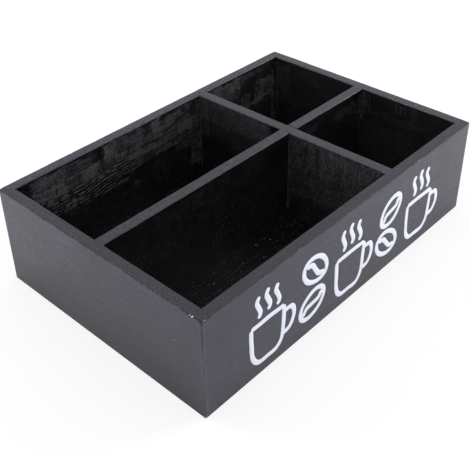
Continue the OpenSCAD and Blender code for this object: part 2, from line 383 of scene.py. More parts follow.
GAPS = {
    "back_panel": (
        (-73, -63, 68, 79, 0.85, 2), (-68, -63.4, 58, 70, 0.6, 1.5), (-97, -88, 57, 77, 0.35, 3),
        (-109.6, -108, 52, 63, 0.8, 0.7), (-40, 16, 58.9, 60.1, 0.75, 0.8, 0.02),
        (-36, 16, 56, 56.8, 0.5, 0.7, 0.02), (0, 30, 61.3, 62.7, 0.7, 0.8, 0.37),
        (-138, -62, 67.2, 68.2, 0.35, 0.8), (31, 37, 66, 79, 0.5, 1.5), (-62, -52, 59, 66, 0.5, 2.5),
        (-40, -36, 60, 66, 0.3, 2), (-2, 2, 73, 79, 0.5, 1.5), (20, 25, 74, 79, 0.4, 1.5),
        (92.6, 94.4, 56, 72, 0.5, 1), (112.8, 114.4, 50, 78, 0.4, 1), (139.4, 140.4, 6, 78, 0.8, 0.5),
        (117, 121, 56, 62, 0.5, 2), (126, 131, 50, 57, 0.5, 2),
    ),
    "cross_divider": ((-34, -31, 50, 76, 0.4, 1.5), (-22, -19, 54, 76, 0.25, 2), (47, 50, 58, 78, 0.3, 1)),
}


def soft_window(value, low, high, soft):
    """One from low to high, falling to zero over the soft distance beyond them on an S curve."""
    t = np.clip(1 + np.minimum(value - low, high - value) / soft, 0.0, 1.0)
    return t * t * (3 - 2 * t)


def marked(rows, along, z):
    """Strength of the marks at places on a face: the strongest of the marks that cover it, with
    outlines that wander by waves."""
    total = np.zeros(np.shape(along))
    sway = waves(along, 0.0, z, 7 * MM, 21)
    swell = waves(along, 0.0, z, 9 * MM, 27)
    for start, end, low, high, strength, soft, *rise in rows:
        fray = FRAY * min(soft, FRAY_LIMIT)
        place = along / MM + sway * fray
        height = z / MM + swell * fray - (rise[0] if rise else 0.0) * (place - start)
        window = soft_window(place, start, end, soft) * soft_window(height, low, high, soft)
        total = np.maximum(total, strength * window)
    return total


def brush_marks(node, faces, along, z):
    """The two attributes that carry a board's marks: smoke with its gaps, and streaks."""
    smoke = marked(SMOKE.get(node, ()), along, z) * (1 - marked(GAPS.get(node, ()), along, z))
    streaks = marked(STREAKS.get(node, ()), along, z)
    return {"smoke": np.where(faces, smoke, 0.0), "streaks": np.where(faces, streaks, 0.0)}


# Meshes


def piece_from_arrays(name, points, quads, polygons, attributes, sharp=38):
    """A mesh object from an array of points, an array of quads and a list of other polygons.
    sharp is the angle in degrees from which an edge stays sharp."""
    mesh = bpy.data.meshes.new(name)
    corners = np.concatenate([quads.ravel()] + [np.asarray(p) for p in polygons]).astype(np.int32)
    sizes = np.concatenate([np.full(len(quads), 4), [len(p) for p in polygons]]).astype(np.int32)
    starts = np.concatenate([[0], np.cumsum(sizes)[:-1]]).astype(np.int32)
    mesh.vertices.add(len(points))
    mesh.vertices.foreach_set("co", points.astype(np.float32).ravel())
    mesh.loops.add(len(corners))
    mesh.loops.foreach_set("vertex_index", corners)
    mesh.polygons.add(len(sizes))
    mesh.polygons.foreach_set("loop_start", starts)
    mesh.polygons.foreach_set("loop_total", sizes)
    mesh.update(calc_edges=True)
    mesh.validate()
    for label, values in attributes.items():
        layer = mesh.attributes.new(label, "FLOAT", "POINT")
        layer.data.foreach_set("value", np.asarray(values, np.float32).ravel())
    mesh.shade_smooth()
    mesh.set_sharp_from_angle(angle=math.radians(sharp))
    piece = bpy.data.objects.new(name, mesh)
    bpy.context.scene.collection.objects.link(piece)
    return piece


def six_volumes(points, quads):
    """Six times the signed volume of the quads' surface, from the triple products of its halves."""
    a, b, c, d = (points[quads[:, k]] for k in range(4))
    return np.sum(a * np.cross(b, c)) + np.sum(a * np.cross(c, d))


def solid_from_rings(rings, closed=False):
    """Points, quads and end caps of rings joined along a path, with the faces turned outward.
    A closed path joins the last ring to the first and has no caps."""
    stations, around = rings.shape[:2]
    points = rings.reshape(-1, 3)
    spans = stations if closed else stations - 1
    i = np.arange(spans)[:, None]
    j = np.arange(around)[None, :]
    k = (j + 1) % around
    here, there = i * around, (i + 1) % stations * around
    quads = np.stack([here + j, here + k, there + k, there + j], axis=-1).reshape(-1, 4)
    caps = [] if closed else [np.arange(around)[::-1], np.arange(around) + spans * around]
    if six_volumes(points - points.mean(0), quads) < 0:
        quads = quads[:, ::-1]
        caps = [cap[::-1] for cap in caps]
    return points, quads, caps


def joined(solids):
    """Several solids of points, quads and caps as one set of arrays."""
    points, quads, caps, start = [], [], [], 0
    for more_points, more_quads, more_caps in solids:
        points.append(more_points)
        quads.append(more_quads + start)
        caps += [cap + start for cap in more_caps]
        start += len(more_points)
    return np.concatenate(points), np.concatenate(quads), caps


def spaced(start, stop, spacing, marks=(), fine=()):
    """Even steps from start to stop, with close steps round each mark."""
    count = max(2, int(round(abs(stop - start) / spacing)) + 1)
    places = [np.linspace(start, stop, count)]
    for mark in marks:
        places.append(mark + np.asarray(fine))
    values = np.unique(np.round(np.concatenate(places), 6))
    values = values[(values >= start) & (values <= stop)]
    values = values[np.concatenate([[True], np.diff(values) > 0.04 * MM])]
    values[0], values[-1] = start, stop
    return values


# Boards

# Heights of the points on a face that carries brush marks, as a share of it, closer above.
# MEETS_EDGE takes the place of the last one, just short of the sanded edge.
MARKED_ROWS = np.concatenate([np.linspace(0, 0.4, 22), np.linspace(0.4, 1, 75)[1:]])
MEETS_EDGE = 0.999

# Close steps along a board beside a junction and beside a corner.
NEAR = np.array([-1.0, -0.7, -0.5, -0.3, -0.15, 0.0, 0.15, 0.3, 0.5, 0.7, 1.0]) * MM
NEAR_CORNER = np.array([0.0, 0.04, 0.09, 0.15, 0.22, 0.31, 0.42, 0.55, 0.7, 0.85, 1.0]) * MM

# How much the outer top edges are rubbed.
EDGE_RUB = 0.55


class Ring:
    """Points of a board's section, collected stretch by stretch."""

    def __init__(self):
        self.rows = []

    def add(self, kind, depth, share, push_out=0.0, push_up=0.0):
        """Adds points: kind names the stretch, depth is across the board, share along it, and
        the last two say how far a wave in the face moves the point across and up."""
        rows = np.broadcast_arrays(depth, share, push_out, push_up)
        self.rows += [(kind, *values) for values in zip(*rows, strict=True)]

    def add_top(self):
        """Adds the sanded edge of the first face, the rim and the edge of the second face."""
        self.add("first_edge", 1 - np.cos(ARC), 0.0, np.cos(ARC), np.sin(ARC))
        self.add("rim", 0.0, np.linspace(0, 1, 9)[1:-1], 0.0, 1.0)
        back = ARC[::-1]
        self.add("second_edge", 1 - np.cos(back), 0.0, -np.cos(back), np.sin(back))

    def arrays(self):
        """Masks of the stretches by name, and depth, share and both pushes as arrays."""
        kinds = np.array([row[0] for row in self.rows])
        numbers = np.array([row[1:] for row in self.rows], float)
        masks = {kind: kinds == kind for kind in np.unique(kinds)}
        return masks, *numbers.T


def wall_ring(plan, wall):
    """Section of a wall as depth in from the outer face and a share of the stretch's height:
    up the outer face, over the sanded rim, down the inner face and round the rabbet."""
    ring = Ring()
    rows = int(plan.height / (2 * plan.boards.spacing))
    upward = np.concatenate([np.linspace(0, 0.94, rows), np.linspace(0.94, 1, 10)[1:]])
    ring.add("foot", 1 - np.sin(ARC), 1 - np.cos(ARC))
    ring.add("first", 0.0, upward[1:-1], 1.0)
    ring.add_top()
    ring.add("second", wall, np.concatenate([[MEETS_EDGE], MARKED_ROWS[-2::-1]]), -1.0)
    ring.add("rabbet", np.linspace(wall, plan.lip, 4)[1:], 1.0)
    ring.add("rabbet", plan.lip, np.linspace(1, 0, 4)[1:])
    ring.add("sole", np.linspace(1, 0, 4)[1:-1], 0.0)
    return ring.arrays()


def divider_ring(thick):
    """Section of a divider as place across it and share of its height: up one face, over the
    sanded rim, down the other face and back along the foot."""
    ring = Ring()
    ring.add("first", 0.0, np.concatenate([MARKED_ROWS[:-1], [MEETS_EDGE]]), 1.0)
    ring.add_top()
    ring.add("second", thick, np.concatenate([[MEETS_EDGE], MARKED_ROWS[-2::-1]]), -1.0)
    ring.add("sole", np.linspace(thick, 0, 5)[1:-1], 0.0)
    return ring.arrays()


def sanded_depths(masks, depth, share, thick, first, second):
    """Depths of a section's points along a board whose top edges have the radii first and
    second, which are columns with a row for each place along it."""
    deep = np.broadcast_to(depth, (len(first), len(depth))).copy()
    deep[:, masks["first_edge"]] *= first
    deep[:, masks["rim"]] = first + share[masks["rim"]] * (thick - first - second)
    deep[:, masks["second_edge"]] = thick - depth[masks["second_edge"]] * second
    return deep


def round_corner(u, depth, radius):
    """Turns a sharp mitred corner round. u is the distance along the wall from the sharp corner:
    lines at equal depth become circles about the corner's centre, and the mitre stays straight."""
    reach = np.maximum(radius - depth, 1e-9)
    angle = np.clip(1 - (u - depth) / reach, 0.0, 1.0) * QUARTER_TURN / 2
    near = (u < radius) & (depth < radius)
    new_u = np.where(near, radius - reach * np.sin(angle), u)
    new_depth = np.where(near, radius - reach * np.cos(angle), depth)
    return new_u, new_depth


def seam_open(z, corner, plan):
    """How open the seam of a mitred corner is, from 0 to 1: widest at the top, closed in the
    lower half, a little uneven, and different at each of the four corners."""
    top = plan.height
    closing = np.clip((z - 0.58 * top) / (0.36 * top), 0.0, 1.0)
    ragged = 0.75 + 0.25 * np.sin(z / (2.1 * MM) + 3 * corner) * np.sin(z / (5.3 * MM) + corner)
    return closing * ragged


def worn_edge(x, y, z, from_end, rim):
    """Share of worn, dull paint beside the outer top edge: a band of about a millimetre whose
    lower border wanders by waves and dips by a bell curve at the corners."""
    low = rim - (0.8 + 0.8 * waves(x, y, 0.0, 13 * MM, 5)) * MM
    low = low - 2.2 * MM * bell(from_end, CORNER_REACH)
    return np.clip(1 + (z - low) / (0.5 * MM), 0.0, 1.0)


def corner_highlight(z, from_end, corner, plan):
    """Share of painted highlight on an upright corner, lighter paint that makes up for the darker
    reflection of its rounding: the mean of a narrow and a wide bell curve of the distance to it, where the
    seam is closed."""
    mean = (bell(from_end, 0.9 * MM) + bell(from_end, 2.4 * MM)) / 2
    return mean * (1 - seam_open(z, corner, plan))


def board_piece(node, x, y, z, attributes):
    """A board's mesh from the places of its section's points at each station along it."""
    points, quads, caps = solid_from_rings(np.stack([x, y, z], axis=-1))
    return piece_from_arrays(node + "_board", points, quads, caps, attributes)


def build_wall(node, plan, outward, seed, corners):
    """One mitred wall: its section carried along it from mitre to mitre. outward is the way that
    it faces, and corners are the numbers of the box's corners at its two ends."""
    boards = plan.boards
    if outward[0]:
        along, half_across, half_along, wall = (0, 1), plan.half_l, plan.half_w, plan.end_wall
        junctions = plan.long
    else:
        along, half_across, half_along, wall = (1, 0), plan.half_w, plan.half_l, plan.wall
        junctions = plan.cross_faces(half_across * outward[1])
    masks, depth, share, push_out, push_up = wall_ring(plan, wall)
    steps = spaced(-half_along, half_along, boards.spacing, junctions, NEAR)
    steps = np.unique(np.concatenate([steps, NEAR_CORNER - half_along, half_along - NEAR_CORNER]))
    station = ((steps + half_along) / (2 * half_along))[:, None]

    def distance_along(across):
        return across + station * (2 * half_along - 2 * across)

    def in_plan(distance, across):
        ahead, out = distance - half_along, half_across - across
        return [ahead * along[k] + out * outward[k] for k in (0, 1)]

    inner_edge = in_plan(distance_along(wall), wall)
    radius = plan.rim_radius(*in_plan(distance_along(0.0), 0.0))
    deep = sanded_depths(masks, depth, share, wall, radius, plan.rim_radius(*inner_edge))
    foot = boards.foot_radius
    deep[:, masks["foot"]] *= foot
    deep[:, masks["sole"]] = foot + depth[masks["sole"]] * (plan.lip - foot)

    u = distance_along(deep)
    far = u > half_along
    from_end = np.where(far, 2 * half_along - u, u)
    to_mitre = from_end - deep
    from_end, rounded = round_corner(from_end, deep, boards.corner_radius)
    x, y = in_plan(np.where(far, 2 * half_along - from_end, from_end), rounded)

    rim, floor = plan.height, plan.floor_z
    z = np.minimum(plan.top_height(x, y), rim - sanded_drop(deep, plan.rim_radius(x, y)))
    heights = {
        "first": foot + share * (rim - radius - foot),
        "second": floor + share * (plan.top_height(*inner_edge) - floor),
        "rabbet": share * floor,
        "sole": 0.0,
        "foot": share * foot,
    }
    for kind, height in heights.items():
        z = np.where(masks[kind], height, z)

    wave = plan.face_wave(x, y, z, seed)
    corner = np.where(far, corners[1], corners[0])
    outside = masks["first"] | masks["first_edge"] | masks["foot"]
    groove = boards.seam_depth * seam_open(z, corner, plan) * bell(to_mitre, boards.seam_width)
    groove = np.where(outside, groove, 0.0)
    shift = push_out * wave - groove
    inward = np.where(far, -1, 1) * groove
    x = x + shift * outward[0] + inward * along[0]
    y = y + shift * outward[1] + inward * along[1]
    z = z + push_up * wave * 0.5

    inner = masks["second"] | masks["rabbet"]
    edges = masks["rim"] | masks["first_edge"] | masks["second_edge"]
    # The upright corners get a painted highlight that offsets the darker reflection of their rounding; the
    # outer top edges are rubbed lighter.
    rub_and_highlight = np.where(outside, corner_highlight(z, from_end, corner, plan), 0.0)
    attributes = {
        "inside": np.broadcast_to(inner, x.shape),
        "rim": np.broadcast_to(edges, x.shape),
        "worn": np.where(outside, worn_edge(x, y, z, from_end, rim), 0.0),
        "rub_and_highlight": np.where(masks["first_edge"], EDGE_RUB, rub_and_highlight),
        **brush_marks(node, inner, x if along[0] else y, z),
    }
    return board_piece(node, x, y, z, attributes)


def build_divider(node, plan, axis, start, stop, seed):
    """One divider with square ends: its section carried along axis 0 or 1 from start to stop.
    start and stop are functions of the place across, so that an end can follow a leaning face."""
    faces = plan.cross if axis else plan.long
    thick = faces[1] - faces[0]
    masks, depth, share, push_out, push_up = divider_ring(thick)
    junctions = plan.long if axis else ()
    steps = spaced(
        float(start(faces[0])), float(stop(faces[0])), plan.boards.spacing, junctions, NEAR)
    station = ((steps - steps[0]) / (steps[-1] - steps[0]))[:, None]

    def place(across):
        along = start(across) + station * (stop(across) - start(across))
        if axis:
            return across + plan.lean(along), along
        return along, across + 0 * along

    first, second = (place(face + 0 * station) for face in faces)
    deep = sanded_depths(
        masks, depth, share, thick, plan.rim_radius(*first), plan.rim_radius(*second))
    x, y = place(faces[0] + deep)

    foot = plan.floor_z
    z = plan.top_height(x, y)
    z = np.where(masks["first"], foot + share * (plan.top_height(*first) - foot), z)
    z = np.where(masks["second"], foot + share * (plan.top_height(*second) - foot), z)
    z = np.where(masks["sole"], foot, z)

    wave = plan.face_wave(x, y, z, seed)
    if axis:
        x = x - push_out * wave
    else:
        y = y - push_out * wave
    z = z + push_up * wave * 0.5

    upright = masks["first"] | masks["second"]
    plain = upright | masks["sole"]
    attributes = {
        "inside": np.broadcast_to(plain, x.shape),
        "rim": np.broadcast_to(~plain, x.shape),
        **brush_marks(node, upright, y if axis else x, z),
    }
    return board_piece(node, x, y, z, attributes)


# Paint beads, flecks and filler

# Steps up a bead and how deep it is sunk, and how near the points of one plug of filler lie.
BEAD_STEP = 0.7 * MM
BEAD_SINK = 0.25 * MM
PLUG_REACH = 4 * MM

# Radius and height of the smoothed filler, and how deep it is sunk.
FILLER_RADIUS = 1.15 * MM
FILLER_RISE = 0.035 * MM
FILLER_SINK = 0.2 * MM


def build_bead(x, y, turn_x, turn_y, low, high, radius, seed):
    """Rings of a hollow fillet of paint in an upright corner at x, y whose faces run off toward
    turn_x and turn_y. Its radius swells and thins with height and fades out at both ends."""
    z = np.arange(low, high, BEAD_STEP)
    swell = 0.62 + 0.38 * waves(0.0, 0.0, z, 9 * MM, seed)
    fade = soft_window(z, low + 3 * MM, high - 2 * MM, 3 * MM)
    size = radius * np.clip(swell * fade, 0.12, 1.2)[:, None]
    t = np.linspace(0, QUARTER_TURN, 5)[None, :]
    sunk = size * 0 - BEAD_SINK
    a = np.concatenate([sunk, size, size - size * np.sin(t), sunk], axis=1)
    b = np.concatenate([sunk, sunk, size - size * np.cos(t), size], axis=1)
    return np.stack([x + turn_x * a, y + turn_y * b, z[:, None] + 0 * a], axis=-1)


def build_spot(centre, normal, radius, height, sink, seed, ragged):
    """Rings of a low dome on a face: circles that shrink toward its top along a circle's arc,
    with a ragged outline. It starts below the face by sink."""
    normal = np.asarray(normal, float) / np.linalg.norm(normal)
    side = np.cross(normal, (0.0, 0.0, 1.0) if abs(normal[2]) < 0.9 else (1.0, 0.0, 0.0))
    side = side / np.linalg.norm(side)
    other = np.cross(normal, side)
    angle = np.linspace(0, 2 * math.pi, 20, endpoint=False)
    outline = 1 + ragged * (0.6 * np.sin(2 * angle + seed) + 0.4 * np.sin(5 * angle + 2 * seed))
    level = np.array([0.0, 0.0, 0.25, 0.5, 0.75, 0.95])
    share = np.sqrt(1 - level**2)
    rise = np.concatenate([[-sink], level[1:] * height])
    flat = np.cos(angle)[:, None] * side + np.sin(angle)[:, None] * other
    rings = share[:, None, None] * (radius * outline)[None, :, None] * flat[None]
    return rings + rise[:, None, None] * normal + np.asarray(centre)


def places_of(node):
    """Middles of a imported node's loose parts, gathered from its points by nearness."""
    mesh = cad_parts[node].data
    points = np.zeros(len(mesh.vertices) * 3)
    mesh.vertices.foreach_get("co", points)
    points = points.reshape(-1, 3)
    middles = []
    while len(points):
        near = np.linalg.norm(points - points[0], axis=1) < PLUG_REACH
        low, high = points[near].min(0), points[near].max(0)
        middles.append((low + high) / 2)
        points = points[~near]
    return middles


# Drawing on the front panel

# Distance between a stroke's rings, and where its round ends stop narrowing.
STROKE_STEP = 1.0 * MM
BLUNT_END = 0.985


def ellipse_path(x, z, long, short, tilt):
    """Points of a tilted ellipse, which closes."""
    t = np.linspace(0, 2 * math.pi, 90, endpoint=False)
    a, b = long * np.cos(t), short * np.sin(t)
    c, s = math.cos(tilt), math.sin(tilt)
    return np.stack([x + a * c - b * s, z + a * s + b * c], axis=-1)


def curve_path(knots):
    """A smooth path through knots: cubic pieces with slopes from each knot's neighbours."""
    knots = np.asarray(knots, float)
    ahead = np.concatenate([knots[1:], knots[-1:]])
    behind = np.concatenate([knots[:1], knots[:-1]])
    slope = (ahead - behind) / 2
    t = np.linspace(0, len(knots) - 1, 20 * len(knots))
    k = np.minimum(t.astype(int), len(knots) - 2)
    f = (t - k)[:, None]
    p, q, m, n = knots[k], knots[k + 1], slope[k], slope[k + 1]
    return ((2 * f**3 - 3 * f**2 + 1) * p + (f**3 - 2 * f**2 + f) * m
            + (3 * f**2 - 2 * f**3) * q + (f**3 - f**2) * n)


def mug_paths(x, z):
    """Strokes of a mug with steam, in millimetres: body, rim line, handle and three wisps."""
    body = [(-16, 33), (-15.6, 20), (-14.2, 7), (-9, 0.6), (0, 0), (9, 0.6), (14.2, 7),
            (15.6, 20), (16, 33)]
    handle = [(16, 27.5), (24, 27), (26.5, 19), (22.5, 10.5), (15, 9)]
    rim = [(-16, 33), (0, 33.4), (16, 33)]
    wisp = [(0.0, 0.0), (2.0, 4.0), (0.2, 9.0), (-1.6, 13.5), (0.6, 18.0)]
    strokes = [curve_path(body), curve_path(rim), curve_path(handle)]
    for shift, lift in ((-9.0, 0.0), (0.0, 1.5), (9.0, -0.5)):
        strokes.append(curve_path(np.array(wisp) + (shift, 38.5 + lift)))
    return [stroke + (x, z) for stroke in strokes]


def bean_paths(x, z, tilt):
    """Strokes of a coffee bean, in millimetres: its outline, which closes, and its crease."""
    crease = np.array([(-11.5, 0.0), (-6.0, 2.4), (0.0, 0.0), (6.0, -2.4), (11.5, 0.0)])
    c, s = math.cos(tilt), math.sin(tilt)
    turned = crease @ np.array([[c, s], [-s, c]])
    return ellipse_path(x, z, 13.4, 9.6, tilt), curve_path(turned) + (x, z)


def even_path(path, closed, stroke):
    """A path at even steps of its length, with closer steps in its round ends."""
    whole = np.concatenate([path, path[:1]]) if closed else path
    step = np.linalg.norm(np.diff(whole, axis=0), axis=1)
    length = np.concatenate([[0], np.cumsum(step)])
    total, near = length[-1], stroke / 2
    even = np.linspace(0, total, int(total / STROKE_STEP) + 1)
    if closed:
        even = even[:-1]
    else:
        ends = near * (1 - np.cos(np.linspace(0, QUARTER_TURN, 7)))
        middle = even[(even > near) & (even < total - near)]
        even = np.unique(np.concatenate([ends, middle, total - ends]))
    return np.stack([np.interp(even, length, whole[:, k]) for k in (0, 1)], axis=-1), even


def stroke_rings(path, closed, plan, motif, seed):
    """Rings of one stroke: a low dome across the path, with the width and the line made a
    little uneven by waves, and round ends where the width runs out like a half circle's."""
    path, length = even_path(path * MM, closed, motif.stroke)
    if closed:
        slope = np.roll(path, -1, axis=0) - np.roll(path, 1, axis=0)
    else:
        slope = np.gradient(path, length, axis=0)
    slope = slope / np.linalg.norm(slope, axis=1, keepdims=True)
    side = np.stack([-slope[:, 1], slope[:, 0]], axis=-1)
    x, z = path[:, 0], path[:, 1]
    path = path + side * (waves(x, 0.0, z, 16 * MM, seed) * motif.wander)[:, None]
    half = motif.stroke / 2 * (1 + 0.06 * waves(x, 0.0, z, 11 * MM, seed + 4))
    height = np.full(len(path), motif.thickness)
    if not closed:
        end = np.minimum(length, length[-1] - length)
        left = np.clip(1 - end / (motif.stroke / 2), 0.0, BLUNT_END)
        half = half * np.sqrt(1 - left**2)
        height = height * (1 - left**4)
    across = np.linspace(1, -1, 9)
    rise = height[:, None] * (1 - np.abs(across) ** 4)
    across = np.concatenate([across, [-1, 1]])
    rise = np.concatenate([rise, np.full((len(path), 2), -motif.sink)], axis=1)
    flat = path[:, None, :] + side[:, None, :] * (half[:, None] * across)[..., None]
    x, z = flat[..., 0], flat[..., 1]
    y = -plan.half_w - plan.face_wave(x, -plan.half_w, z, 1) - rise
    return np.stack([x, y, z], axis=-1)


# Shader nodes

# Numbers of a Mix node's two inputs and of its output, by what it mixes.
MIX_SOCKETS = {"RGBA": (6, 7, 2), "FLOAT": (2, 3, 0)}
BUMP_STRENGTH = 0.6


def feed(tree, socket, value):
    """Gives a socket a number, several numbers or what another socket puts out."""
    if isinstance(value, bpy.types.NodeSocket):
        tree.links.new(value, socket)
    elif socket.type == "RGBA":
        socket.default_value = (*value, 1.0)
    else:
        socket.default_value = value


def math_node(tree, operation, a, b=0.0, clamp=False):
    """A Math node whose two inputs are numbers or sockets. Returns its output."""
    node = tree.nodes.new("ShaderNodeMath")
    node.operation = operation
    node.use_clamp = clamp
    feed(tree, node.inputs[0], a)
    feed(tree, node.inputs[1], b)
    return node.outputs[0]


def product(tree, value, *factors):
    """A value multiplied by others, one after the other."""
    for factor in factors:
        value = math_node(tree, "MULTIPLY", value, factor)
    return value


def spread(tree, value, amount):
    """A value near one, with its distance from one multiplied by an amount."""
    distance = product(tree, math_node(tree, "ADD", value, -1.0), amount)
    return math_node(tree, "ADD", distance, 1.0)


def ramp(tree, value, low, high, out_low=0.0, out_high=1.0):
    """A clamped Map Range of a value. Returns its output."""
    node = tree.nodes.new("ShaderNodeMapRange")
    for name, number in (("Value", value), ("From Min", low), ("From Max", high),
                         ("To Min", out_low), ("To Max", out_high)):
        feed(tree, node.inputs[name], number)
    return node.outputs["Result"]


def noise(tree, place, scale, detail, roughness=0.5):
    """A Noise texture at a place socket, with scale in features a metre. Returns its value."""
    node = tree.nodes.new("ShaderNodeTexNoise")
    for name, value in (("Vector", place), ("Scale", scale), ("Detail", detail),
                        ("Roughness", roughness)):
        feed(tree, node.inputs[name], value)
    return node.outputs["Fac"]


def stretched(tree, place, stretch, shift):
    """A place socket multiplied by a stretch and moved by a shift, each a socket or numbers."""
    node = tree.nodes.new("ShaderNodeVectorMath")
    node.operation = "MULTIPLY_ADD"
    for socket, value in zip(node.inputs, (place, stretch, shift)):
        feed(tree, socket, value)
    return node.outputs[0]


def axes_of(tree, place):
    """The three coordinates of a place socket."""
    node = tree.nodes.new("ShaderNodeSeparateXYZ")
    feed(tree, node.inputs[0], place)
    return node.outputs


def attribute(tree, name):
    """Value of a piece's own attribute."""
    node = tree.nodes.new("ShaderNodeAttribute")
    node.attribute_name = name
    return node.outputs["Fac"]


def blend(tree, mask, a, b, kind="RGBA"):
    """A mix by a mask of two colours or, with kind FLOAT, of two values. Each is given as
    numbers or as a socket."""
    node = tree.nodes.new("ShaderNodeMix")
    node.data_type = kind
    first, second, result = MIX_SOCKETS[kind]
    feed(tree, node.inputs["Factor"], mask)
    feed(tree, node.inputs[first], a)
    feed(tree, node.inputs[second], b)
    return node.outputs[result]


def toned(tree, color, tone):
    """A colour multiplied by a value."""
    node = tree.nodes.new("ShaderNodeVectorMath")
    node.operation = "SCALE"
    feed(tree, node.inputs[0], color)
    feed(tree, node.inputs["Scale"], tone)
    return node.outputs[0]


def add_bump(tree, shader, height, distance):
    """Small bumps from a height, at most so many metres high."""
    bump = tree.nodes.new("ShaderNodeBump")
    feed(tree, bump.inputs["Strength"], BUMP_STRENGTH)
    feed(tree, bump.inputs["Distance"], distance)
    feed(tree, bump.inputs["Height"], height)
    feed(tree, shader.inputs["Normal"], bump.outputs["Normal"])


# Shared effects of the paint, as node groups

# Distance between the lines that the brush left inside the bins, and their rise along X.
LINE_PERIOD = 2.8 * MM
LINE_SLOPE = 0.08

# Stretch of the noise that is drawn out upward.
UPRIGHT = (1.0, 1.0, 0.12)


def new_effect(name, inputs, outputs):
    """An empty shader group with its sockets, and the two places that its noises use: the one
    moved by the seed, and that one drawn out by the stretch."""
    group = bpy.data.node_groups.new(name, "ShaderNodeTree")
    for label in ("Place", "Stretch", "Seed"):
        group.interface.new_socket(label, in_out="INPUT", socket_type="NodeSocketVector")
    for label in inputs:
        group.interface.new_socket(label, in_out="INPUT", socket_type="NodeSocketFloat")
    for label in outputs:
        group.interface.new_socket(label, in_out="OUTPUT", socket_type="NodeSocketFloat")
    source = group.nodes.new("NodeGroupInput").outputs
    sink = group.nodes.new("NodeGroupOutput").inputs
    place = stretched(group, source["Place"], (1.0, 1.0, 1.0), source["Seed"])
    drawn = stretched(group, source["Place"], source["Stretch"], source["Seed"])
    return group, source, sink, place, drawn


def paint_skin_group():
    """The skin of brushed paint: a slow cloud, streaks along the brush, grit and finer dust."""
    outputs = ("Cloud", "Streaks", "Grit", "Dust")
    group, _, sink, place, drawn = new_effect("paint_skin", (), outputs)
    feed(group, sink["Cloud"], noise(group, place, 28.0, 4.0, 0.55))
    feed(group, sink["Streaks"], noise(group, drawn, 620.0, 4.0, 0.6))
    feed(group, sink["Grit"], noise(group, place, 560.0, 3.0, 0.6))
    feed(group, sink["Dust"], noise(group, place, 850.0, 2.0, 0.6))
    return group


def dry_brush_group():
    """Where the brush ran dry: the placed smoke broken up by clouds, by noise drawn out along the
    brush, by fine specks and by noise drawn out upward, and the placed streaks as thin uneven
    lines stacked in height and as ridges where drawn out noise crosses its middle."""
    group, source, sink, place, drawn = new_effect(
        "dry_brush", ("Smoke", "Streaks", "Contrast"), ("Mask", "Specks"))
    upright = stretched(group, source["Place"], UPRIGHT, source["Seed"])

    def broken(where, scale, detail, roughness, *limits):
        return ramp(group, noise(group, where, scale, detail, roughness), *limits)

    body = product(
        group,
        broken(place, 130.0, 3.0, 0.55, 0.36, 0.64, 0.5, 1.25),
        broken(drawn, 620.0, 3.0, 0.6, 0.36, 0.64, 0.5, 1.4),
        broken(place, 820.0, 2.0, 0.6, 0.38, 0.64, 0.5, 1.5),
        broken(upright, 700.0, 2.0, 0.5, 0.36, 0.64, 0.65, 1.25))
    smoke = product(group, source["Smoke"], spread(group, body, source["Contrast"]))

    axes = axes_of(group, source["Place"])
    slope = product(group, axes["X"], LINE_SLOPE)
    level = math_node(group, "SUBTRACT", axes["Z"], slope)
    level = product(group, level, 2 * math.pi / LINE_PERIOD)
    bend = product(group, noise(group, place, 22.0, 3.0), 24.0)
    line = math_node(group, "SINE", math_node(group, "ADD", level, bend))
    middle = math_node(group, "ADD", noise(group, drawn, 240.0, 2.0), -0.5)
    ridge = ramp(group, math_node(group, "ABSOLUTE", middle), 0.006, 0.026, 1.2, 0.0)
    lines = product(group, ramp(group, line, 0.5, 0.95), 0.95)
    lines = product(group, math_node(group, "ADD", lines, ridge),
                    broken(place, 170.0, 2.0, 0.5, 0.42, 0.54, 0.08, 1.0))
    streaks = product(group, source["Streaks"], lines)

    dust = broken(place, 700.0, 3.0, 0.65, 0.50, 0.74, 0.0, 0.42)
    patches = broken(place, 90.0, 3.0, 0.5, 0.38, 0.6)
    specks = product(group, dust, patches, source["Contrast"])
    total = math_node(group, "ADD", math_node(group, "ADD", smoke, streaks), specks, clamp=True)
    feed(group, sink["Mask"], total)
    feed(group, sink["Specks"], dust)
    return group


EFFECTS = {"paint_skin": paint_skin_group, "dry_brush": dry_brush_group}


def place_effect(tree, name, place, stretch, seed):
    """Places a shared effect, built the first time it is asked for, with its stretch along the
    brush and a seed."""
    node = tree.nodes.new("ShaderNodeGroup")
    node.node_tree = bpy.data.node_groups.get(name) or EFFECTS[name]()
    feed(tree, node.inputs["Place"], place)
    feed(tree, node.inputs["Stretch"], stretch)
    feed(tree, node.inputs["Seed"], (seed * 0.37, seed * 0.61, seed * 0.23))
    return node


# Materials

# Two ranges that most values of a noise fall in. The narrower one gives more contrast.
USUAL = (0.3, 0.7)
FINE = (0.35, 0.65)

# How far the grain is drawn out, tones of the worn paint, of the rubbed paint with its painted highlight
# and of the darkest paint, the height over which the painted shade at the foot fades, and the colour of
# the wood that shows underneath.
GRAIN_DRAW = 0.045
WORN_TONE = 0.95
RUB_AND_HIGHLIGHT_TONE = 2.4
DARKEST = 0.1
FOOT_SHADE_FADE = 42 * MM
BARE_WOOD_COLOR = (0.05, 0.044, 0.042)


def new_material(name):
    """An empty node material with its output and a Principled shader."""
    material = bpy.data.materials.new(name)
    material.use_nodes = True
    tree = material.node_tree
    tree.nodes.clear()
    out = tree.nodes.new("ShaderNodeOutputMaterial")
    shader = tree.nodes.new("ShaderNodeBsdfPrincipled")
    tree.links.new(shader.outputs["BSDF"], out.inputs["Surface"])
    return material, tree, shader


def painted_material(name, stretch, seed):
    """A new material with its place on the piece and the outputs of its paint skin."""
    material, tree, shader = new_material(name)
    place = tree.nodes.new("ShaderNodeTexCoord").outputs["Object"]
    skin = place_effect(tree, "paint_skin", place, stretch, seed)
    return material, tree, shader, place, skin.outputs


def drawn_out(axis, share):
    """A stretch that draws a texture out along one axis."""
    return tuple(share if k == axis else 1.0 for k in range(3))
